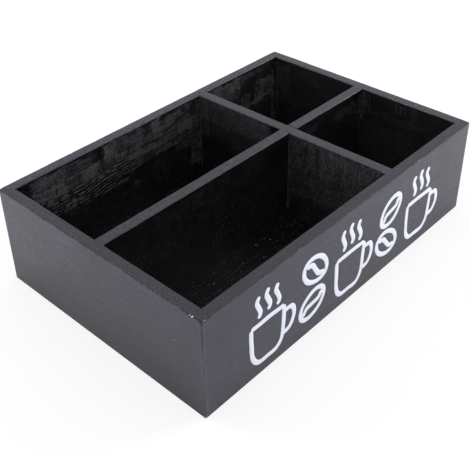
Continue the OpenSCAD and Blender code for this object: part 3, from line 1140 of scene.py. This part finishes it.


# For each board: the painted shade of its rim, darker on the near walls and lighter on the far ones, which
# stands in for how much light the rims reflect, how drawn out the strokes inside the bins are, the tone of
# the paint inside, how broken up the smoke is in the front and in the back bins, and the painted shade of
# the outer paint at the foot.

FINISHES = {
    "front_panel": (0.6, 0.08, 1.0, 0.8, 0.8, 1.0),
    "back_panel": (1.0, 0.08, 1.0, 0.9, 0.9, 0.7),
    "left_end_panel": (0.6, 0.08, 1.0, 0.8, 0.8, 0.2),
    "right_end_panel": (1.1, 0.08, 2.0, 0.7, 0.55, 0.7),
    "cross_divider": (0.9, 0.5, 1.0, 0.8, 0.45, 1.0),
    "long_divider": (0.7, 0.35, 1.0, 0.85, 0.85, 1.0),
    "short_divider": (0.9, 0.35, 1.0, 0.7, 0.7, 1.0),
}


def board_material(node, paint, grain, brush, seed):
    """Black paint brushed on a board. grain and brush are the axes of the outer streaks and of the strokes
    inside the bins. The outer paint gets coarser along the grain, has painted shade at the foot and on the
    rims of the near walls, is lighter on its rubbed top edges and has a painted highlight on its upright
    corners. Inside the bins, painted shade makes the paint lighter low down and darker toward the rim."""
    rim_shade_tone, draw, inner_tone, broken_front, broken_back, foot_shade_tone = FINISHES[node]
    material, tree, shader, place, skin = painted_material(
        node + "_paint", drawn_out(grain, GRAIN_DRAW), seed)
    dry = place_effect(tree, "dry_brush", place, drawn_out(brush, draw), seed)
    axes = axes_of(tree, place)
    contrast = ramp(tree, axes["Y"], -4 * MM, 4 * MM, broken_front, broken_back)
    feed(tree, dry.inputs["Smoke"], attribute(tree, "smoke"))
    feed(tree, dry.inputs["Streaks"], attribute(tree, "streaks"))
    feed(tree, dry.inputs["Contrast"], contrast)
    mask = dry.outputs["Mask"]
    inside, rim = attribute(tree, "inside"), attribute(tree, "rim")
    worn, rub_and_highlight = attribute(tree, "worn"), attribute(tree, "rub_and_highlight")

    def by(share, without, within):
        return ramp(tree, share, 0.0, 1.0, without, within)

    texture = product(
        tree,
        ramp(tree, skin["Cloud"], *USUAL, 0.76, 1.24),
        ramp(tree, skin["Streaks"], *USUAL, 0.80, 1.20),
        ramp(tree, skin["Grit"], *FINE, 0.75, 1.25))
    uneven = ramp(tree, axes[grain], -90 * MM, 90 * MM, 1.0, 2.4)
    dusty = product(tree, ramp(tree, skin["Dust"], *FINE, -1.0, 1.0), by(rim, 0.12, 1.2))
    tone = product(
        tree,
        spread(tree, texture, uneven),
        # painted shade: the outer paint darkens toward the foot, where the floor beside the box is shaded
        ramp(tree, axes["Z"], 0.0, FOOT_SHADE_FADE, foot_shade_tone, 1.0),
        # painted shade: the rims of the near walls are darker than those of the far walls
        by(rim, 1.0, rim_shade_tone),
        by(worn, 1.0, WORN_TONE),
        # rubbed top edges and the painted highlight on the upright corners
        by(rub_and_highlight, 1.0, RUB_AND_HIGHLIGHT_TONE),
        math_node(tree, "ADD", dusty, 1.0))
    tone = math_node(tree, "MAXIMUM", tone, DARKEST)
    outer = toned(tree, paint.outer_color, tone)
    # Painted shade inside the bins: the paint and its scuffs are lighter low down and darker toward the
    # rim.
    graded = ramp(tree, axes["Z"], 12 * MM, 76 * MM, 1.25 * inner_tone, 0.5 * inner_tone)
    scuff_painted_shade = ramp(tree, axes["Z"], 20 * MM, 78 * MM, 1.30, 0.66)
    inner = blend(tree, mask, toned(tree, paint.inner_color, graded),
                  toned(tree, paint.scuff_color, scuff_painted_shade))
    feed(tree, shader.inputs["Base Color"], blend(tree, inside, outer, inner))

    smooth, rough = paint.outer_roughness - 0.04, paint.outer_roughness + 0.06
    gloss = ramp(tree, skin["Cloud"], *USUAL, smooth, rough)
    gloss = math_node(tree, "ADD", gloss, by(rim, 0.0, 0.08))
    gloss = math_node(tree, "ADD", gloss, by(worn, 0.0, 0.34))
    inner_gloss = ramp(tree, mask, 0.0, 0.5, paint.inner_roughness, paint.scuff_roughness)
    feed(tree, shader.inputs["Roughness"], blend(tree, inside, gloss, inner_gloss, "FLOAT"))
    shader.inputs["Specular Tint"].default_value = (*paint.gloss_tint, 1.0)

    coarse = product(tree, skin["Streaks"], by(rim, 2.2, 20.0))
    fine = product(tree, skin["Grit"], by(rim, 1.2, 16.0))
    add_bump(tree, shader, math_node(tree, "ADD", coarse, fine), 0.02 * MM)
    return material


def floor_panel_material(paint):
    """Black paint on the base panel: dusty specks above, thin paint over wood grain below."""
    material, tree, shader, place, skin = painted_material(
        "floor_paint", drawn_out(0, GRAIN_DRAW), 31)
    dry = place_effect(tree, "dry_brush", place, drawn_out(0, 0.2), 31)
    below = ramp(tree, axes_of(tree, place)["Z"], 1.5 * MM, 1.0 * MM)
    dashes = ramp(tree, skin["Streaks"], 0.5, 0.62, 0.45, 2.4)
    specks = product(tree, dry.outputs["Specks"], dashes)
    dark = ramp(tree, skin["Cloud"], *USUAL, 0.25, 0.45)
    top = blend(tree, specks, toned(tree, paint.inner_color, dark), paint.scuff_color)
    graded = ramp(tree, skin["Streaks"], 0.35, 0.75)
    under = blend(tree, graded, paint.outer_color, BARE_WOOD_COLOR)
    feed(tree, shader.inputs["Base Color"], blend(tree, below, top, under))
    feed(tree, shader.inputs["Roughness"], ramp(tree, skin["Cloud"], *USUAL, 0.2, 0.3))
    add_bump(tree, shader, skin["Streaks"], 0.04 * MM)
    return material


def coat_material(name, base, roughness, seed, uneven=0.06, metallic=0.0, tint=(1.0, 1.0, 1.0)):
    """A small painted or bare surface whose tone and gloss vary a little over it."""
    material, tree, shader, _, skin = painted_material(name, (1.0, 1.0, 1.0), seed)
    tone = ramp(tree, skin["Grit"], *USUAL, 1 - uneven, 1.0)
    gloss = ramp(tree, skin["Grit"], *USUAL, roughness - 0.05, roughness + 0.05)
    feed(tree, shader.inputs["Base Color"], toned(tree, base, tone))
    feed(tree, shader.inputs["Roughness"], gloss)
    shader.inputs["Metallic"].default_value = metallic
    shader.inputs["Specular Tint"].default_value = (*tint, 1.0)
    add_bump(tree, shader, skin["Grit"], 0.02 * MM)
    return material


# Operators


def settle(piece, slot, material, *nodes):
    """Gives a piece its material and its body, and hides the nodes it stands for. slot is not used."""
    piece.data.materials.append(material)
    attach(piece, BODY)
    for node in nodes:
        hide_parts(node)


def add_solids(name, solids, slot, material, *nodes):
    """One finished piece made of several solids."""
    piece = piece_from_arrays(name, *joined(solids), {}, sharp=60)
    settle(piece, slot, material, *nodes)


class ORGANIZER_OT_walls(Operator):
    """Build the four mitred walls with sanded edges"""

    bl_idname = "organizer.walls"
    bl_label = "Walls"

    def execute(self, context):
        scene = context.scene
        plan = Plan(scene.organizer_boards)
        sides = (
            ("front_panel", (0, -1), (0, 1)),
            ("back_panel", (0, 1), (2, 3)),
            ("left_end_panel", (-1, 0), (0, 2)),
            ("right_end_panel", (1, 0), (1, 3)),
        )
        for seed, (node, outward, corners) in enumerate(sides, 1):
            piece = build_wall(node, plan, outward, seed, corners)
            grain = 1 if outward[0] else 0
            material = board_material(node, scene.organizer_paint, grain, grain, seed)
            settle(piece, "outer_paint", material, node)
        return {"FINISHED"}


class ORGANIZER_OT_dividers(Operator):
    """Build the three dividers with sanded rims"""

    bl_idname = "organizer.dividers"
    bl_label = "Dividers"

    def execute(self, context):
        scene = context.scene
        plan = Plan(scene.organizer_boards)

        def fixed(value):
            return lambda across: value + 0 * across

        def beside_cross(value):
            return lambda y: value + plan.lean(y)

        rows = (
            ("cross_divider", 1, fixed(-plan.in_y), fixed(plan.in_y), 2),
            ("long_divider", 0, fixed(-plan.in_x), beside_cross(plan.cross[0]), 0),
            ("short_divider", 0, beside_cross(plan.short_left), fixed(plan.in_x), 0),
        )
        for seed, (node, axis, start, stop, brush) in enumerate(rows, 11):
            piece = build_divider(node, plan, axis, start, stop, seed)
            material = board_material(node, scene.organizer_paint, axis, brush, seed)
            settle(piece, "inner_paint", material, node)
        return {"FINISHED"}


class ORGANIZER_OT_base(Operator):
    """Finish the base panel and the brads"""

    bl_idname = "organizer.base"
    bl_label = "Base and brads"

    def execute(self, context):
        paint = context.scene.organizer_paint
        floor = floor_panel_material(paint)
        steel = coat_material("brad_steel", (0.5, 0.51, 0.53), 0.3, 41, 0.2, 1.0)
        for name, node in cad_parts.items():
            if name == "base_panel" or name.endswith("_brads"):
                node.data.materials.clear()
                node.data.materials.append(floor if name == "base_panel" else steel)
        return {"FINISHED"}


class ORGANIZER_OT_filler(Operator):
    """Build the smoothed filler over the brads in the outer faces"""

    bl_idname = "organizer.filler"
    bl_label = "Filler"

    def execute(self, context):
        paint = context.scene.organizer_paint
        plan = Plan(context.scene.organizer_boards)
        material = coat_material(
            "filler_paint", paint.outer_color, 0.42, 45, 0.15, 0.0, paint.gloss_tint)
        sides = (("front", 1, -1), ("back", 1, 1), ("left", 0, -1), ("right", 0, 1))
        for board, (side, axis, sign) in enumerate(sides, 1):
            normal = np.eye(3)[axis] * sign
            solids = []
            for seed, place in enumerate(places_of(side + "_filler")):
                place[axis] = CAD_BOUNDS[1][axis] * sign
                place[axis] += plan.face_wave(*place, board) * sign
                rings = build_spot(
                    place, normal, FILLER_RADIUS, FILLER_RISE, FILLER_SINK, seed, 0.12)
                solids.append(solid_from_rings(rings))
            add_solids(side + "_filler_spots", solids, "filler", material, side + "_filler")
        return {"FINISHED"}


class ORGANIZER_OT_motif(Operator):
    """Draw the mugs and beans on the front panel"""

    bl_idname = "organizer.motif"
    bl_label = "Drawing"

    def execute(self, context):
        motif = context.scene.organizer_motif
        plan = Plan(context.scene.organizer_boards)
        foot = motif.foot / MM
        open_paths, closed_paths = [], []
        for x in (-92.0, -4.0, 84.0):
            open_paths += mug_paths(x, foot)
        for x, z, tilt in ((-46.0, 14.0, 0.55), (-44.0, 42.5, -0.6), (42.0, 14.5, -0.5),
                           (44.5, 42.0, 0.7)):
            outline, crease = bean_paths(x, foot + z, tilt)
            closed_paths.append(outline)
            open_paths.append(crease)
        solids = []
        for closed, paths in ((False, open_paths), (True, closed_paths)):
            for path in paths:
                rings = stroke_rings(path, closed, plan, motif, len(solids))
                solids.append(solid_from_rings(rings, closed))
        material = coat_material("drawing_paint", motif.color, 0.55, 51)
        add_solids("front_drawing", solids, "decoration_paint", material)
        return {"FINISHED"}


class ORGANIZER_OT_beads(Operator):
    """Add the beads of paint in the inner corners, grit on the floor and flecks on the edges"""

    bl_idname = "organizer.beads"
    bl_label = "Beads, grit and flecks"

    def execute(self, context):
        plan = Plan(context.scene.organizer_boards)
        self.beads(plan)
        self.grit(plan)
        self.flecks(plan, context.scene.organizer_motif)
        return {"FINISHED"}

    def beads(self, plan):
        """Fillets in the upright inner corners: x, y, the two directions, heights and radius."""
        front, back = plan.long
        in_x, in_y = plan.in_x, plan.in_y
        floor, rim = plan.floor_z, plan.height - 1.0 * MM
        left_back, right_back = plan.cross_faces(in_y)
        left_middle = plan.cross_faces(front)[0]
        left_near = plan.cross_faces(-in_y)[0]
        rows = (
            (left_back, in_y, -1, -1, floor + 4 * MM, rim, 0.8 * MM),
            (left_middle, front, -1, -1, floor + 6 * MM, rim, 0.9 * MM),
            (left_middle, back, -1, 1, floor, rim - 20 * MM, 0.4 * MM),
            (left_near, -in_y, -1, 1, floor, rim - 10 * MM, 0.4 * MM),
            (in_x, front, -1, -1, floor + 30 * MM, rim, 0.5 * MM),
            (in_x, back, -1, 1, floor, rim - 12 * MM, 0.4 * MM),
            (in_x, in_y, -1, -1, floor, rim - 30 * MM, 0.3 * MM),
            (right_back, in_y, 1, -1, floor, rim - 4 * MM, 0.4 * MM),
            (-in_x, back, 1, 1, floor, rim - 6 * MM, 0.4 * MM),
            (-in_x, front, 1, -1, floor, rim - 6 * MM, 0.4 * MM),
            (-in_x, in_y, 1, -1, floor, rim - 10 * MM, 0.3 * MM),
            (-in_x, -in_y, 1, 1, floor, rim - 10 * MM, 0.3 * MM),
        )
        solids = [solid_from_rings(build_bead(*row, seed)) for seed, row in enumerate(rows)]
        material = coat_material("bead_paint", (0.045, 0.044, 0.047), 0.4, 61, 0.5)
        add_solids("corner_beads", solids, "inner_paint", material)

    def grit(self, plan):
        """Dried crumbs of paint on the floor of the bins: x, y and radius in millimetres."""
        rows = (
            (-4.4, -13.0, 0.62), (-2.6, -14.2, 0.35), (8.6, -16.4, 0.4), (-10.2, -28.0, 0.35),
            (-11.8, -27.4, 0.3), (-27.3, -19.8, 0.35), (-59.3, -20.0, 0.35), (-71.5, -11.3, 0.35),
            (-50.4, -11.6, 0.3), (-68.8, -7.2, 0.3), (6.3, -12.5, 0.3), (-36.0, -26.0, 0.3),
            (-42.0, -31.0, 0.25), (20.0, -60.0, 0.35), (-90.0, -70.0, 0.3), (-20.0, -80.0, 0.35),
            (-100.0, 60.0, 0.3), (-30.0, 40.0, 0.3), (10.0, 70.0, 0.35), (90.0, 40.0, 0.3),
            (110.0, -50.0, 0.35), (80.0, -70.0, 0.3), (120.0, 70.0, 0.3),
        )
        solids = []
        for seed, (x, y, radius) in enumerate(rows):
            centre = (x * MM, y * MM, plan.floor_z)
            rings = build_spot(
                centre, (0, 0, 1), radius * MM, 0.6 * radius * MM, 0.1 * MM, seed, 0.3)
            solids.append(solid_from_rings(rings))
        material = coat_material("grit_paint", (0.30, 0.30, 0.31), 0.5, 71, 0.3)
        add_solids("floor_grit", solids, "inner_paint", material)

    def flecks(self, plan, motif):
        """Flecks of the drawing's paint near the front left corner, nearly all on edges: place,
        the way that each one faces and radius."""
        half_l, half_w, rim = plan.half_l, plan.half_w, plan.height
        inset = 0.14 * MM
        rows = (
            ((-half_l + inset, -92.5 * MM, rim - inset), (-1, 0, 1), 0.55 * MM),
            ((-half_l + inset, -90.6 * MM, rim - inset), (-1, 0, 1), 0.3 * MM),
            ((-147.4 * MM, -half_w + inset, rim - inset), (0, -1, 1), 0.24 * MM),
            ((-62.0 * MM, -half_w + inset, rim - inset), (0, -1, 1), 0.22 * MM),
            ((-half_l, -76.0 * MM, 51.2 * MM), (-1, 0, 0), 0.26 * MM),
            ((-half_l + 0.3 * MM, -half_w + 0.3 * MM, 1.1 * MM), (-1, -1, 0), 0.3 * MM),
        )
        solids = []
        for seed, (centre, normal, radius) in enumerate(rows):
            rings = build_spot(centre, normal, radius, 0.08 * MM, 0.3 * MM, seed, 0.35)
            solids.append(solid_from_rings(rings))
        material = coat_material("fleck_paint", motif.color, 0.5, 81, 0.2)
        add_solids("edge_flecks", solids, "decoration_paint", material)


# Stage

# The floor lies a hair below the box. The lamps are wide squares that face the box's middle.
FLOOR_DROP = 0.02 * MM
LEFT_LAMP_PLACE = (-0.70, 1.30, 0.22)
RIGHT_LAMP_PLACE = (1.35, -0.70, 0.22)
LAMP_TARGET = (0.0, 0.0, 0.04)
LAMP_SIZE = 0.7
LAMP_COLOR = (0.97, 0.955, 1.0)


class ORGANIZER_OT_stage(Operator):
    """Set the floor, the light and the camera"""

    bl_idname = "organizer.stage"
    bl_label = "Stage"

    def execute(self, context):
        scene = context.scene
        stage = scene.organizer_stage
        make_camera(scene, scene.organizer_camera)
        make_floor(stage)
        make_sky(scene, stage)
        make_lamp("left_lamp", LEFT_LAMP_PLACE, stage.left_lamp)
        make_lamp("right_lamp", RIGHT_LAMP_PLACE, stage.right_lamp)
        scene.view_settings.view_transform = "Standard"
        return {"FINISHED"}


def make_camera(scene, settings):
    """A camera at its place, turned by heading, dip and roll."""
    heading, dip, roll = settings.heading, settings.dip, settings.roll
    ahead = Vector((
        math.sin(heading) * math.cos(dip), math.cos(heading) * math.cos(dip), -math.sin(dip)))
    level = Vector((math.cos(heading), -math.sin(heading), 0.0))
    over = level.cross(ahead)
    right = level * math.cos(roll) + over * math.sin(roll)
    up = over * math.cos(roll) - level * math.sin(roll)
    data = bpy.data.cameras.new("camera")
    data.sensor_width = 36.0
    data.lens = settings.focal_length
    data.shift_x = settings.shift_x
    data.shift_y = settings.shift_y
    data.clip_start = 0.01
    camera = bpy.data.objects.new("camera", data)
    turn = Matrix((right, up, -ahead)).transposed().to_4x4()
    camera.matrix_world = Matrix.Translation(settings.place) @ turn
    scene.collection.objects.link(camera)
    scene.camera = camera


def seen_directly(tree):
    """One for rays from the camera, reflections and glass, and zero for those that carry light."""
    rays = tree.nodes.new("ShaderNodeLightPath").outputs
    both = math_node(tree, "MAXIMUM", rays["Is Camera Ray"], rays["Is Glossy Ray"])
    return math_node(tree, "MAXIMUM", both, rays["Is Transmission Ray"])


def make_floor(settings):
    """A wide pale floor, a hair below the box. What is seen of it is partly plain white, so that
    it keeps the box's shadow but is white away from it."""
    half = settings.floor_size / 2
    mesh = bpy.data.meshes.new("floor")
    mesh.from_pydata(
        [(-half, -half, 0), (half, -half, 0), (half, half, 0), (-half, half, 0)],
        [], [(0, 1, 2, 3)])
    floor = bpy.data.objects.new("floor", mesh)
    floor.location.z = -FLOOR_DROP
    material, tree, shader = new_material("floor")
    shader.inputs["Base Color"].default_value = (*settings.floor_color, 1.0)
    shader.inputs["Roughness"].default_value = 0.9
    shader.inputs["Specular IOR Level"].default_value = 0.0
    white = tree.nodes.new("ShaderNodeEmission")
    mix = tree.nodes.new("ShaderNodeMixShader")
    rays = tree.nodes.new("ShaderNodeLightPath").outputs
    share = math_node(tree, "MULTIPLY", rays["Is Camera Ray"], settings.floor_glow)
    tree.links.new(share, mix.inputs[0])
    tree.links.new(shader.outputs[0], mix.inputs[1])
    tree.links.new(white.outputs[0], mix.inputs[2])
    tree.links.new(mix.outputs[0], tree.nodes["Material Output"].inputs["Surface"])
    mesh.materials.append(material)
    bpy.context.scene.collection.objects.link(floor)


def make_sky(scene, settings):
    """Even white light from all round. It is plain white where it is seen."""
    world = bpy.data.worlds.new("sky")
    world.use_nodes = True
    tree = world.node_tree
    sky = tree.nodes["Background"]
    sky.inputs["Color"].default_value = (1.0, 1.0, 1.0, 1.0)
    strength = ramp(tree, seen_directly(tree), 0.0, 1.0, settings.sky_strength, 1.0)
    tree.links.new(strength, sky.inputs["Strength"])
    scene.world = world


def make_lamp(name, place, power):
    """A wide soft lamp that faces the box and isn't seen itself."""
    data = bpy.data.lights.new(name, "AREA")
    data.size = LAMP_SIZE
    data.energy = power
    data.color = LAMP_COLOR
    lamp = bpy.data.objects.new(name, data)
    lamp.location = place
    toward = Vector(LAMP_TARGET) - Vector(place)
    lamp.rotation_euler = toward.to_track_quat("-Z", "Y").to_euler()
    lamp.visible_camera = False
    bpy.context.scene.collection.objects.link(lamp)


# Panel and registration


class ORGANIZER_PT_panel(Panel):
    """Lists the steps that dress the organizer"""

    bl_label = "Organizer"
    bl_idname = "ORGANIZER_PT_panel"
    bl_space_type = "VIEW_3D"
    bl_region_type = "UI"
    bl_category = "Organizer"

    def draw(self, context):
        for step in STEPS:
            self.layout.operator(step.bl_idname)


STEPS = (
    ORGANIZER_OT_stage,
    ORGANIZER_OT_walls,
    ORGANIZER_OT_dividers,
    ORGANIZER_OT_base,
    ORGANIZER_OT_filler,
    ORGANIZER_OT_motif,
    ORGANIZER_OT_beads,
)
SETTINGS = {
    "organizer_camera": CameraSettings,
    "organizer_boards": BoardSettings,
    "organizer_paint": PaintSettings,
    "organizer_motif": MotifSettings,
    "organizer_stage": StageSettings,
}


def register():
    for group in SETTINGS.values():
        bpy.utils.register_class(group)
    for step in STEPS:
        bpy.utils.register_class(step)
    bpy.utils.register_class(ORGANIZER_PT_panel)
    for name, group in SETTINGS.items():
        setattr(bpy.types.Scene, name, PointerProperty(type=group))


def unregister():
    for name in SETTINGS:
        delattr(bpy.types.Scene, name)
    bpy.utils.unregister_class(ORGANIZER_PT_panel)
    for step in reversed(STEPS):
        bpy.utils.unregister_class(step)
    for group in SETTINGS.values():
        bpy.utils.unregister_class(group)


def main():
    """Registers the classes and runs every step."""
    register()
    for step in STEPS:
        area, name = step.bl_idname.split(".")
        getattr(getattr(bpy.ops, area), name)()


if __name__ == "__main__":
    main()
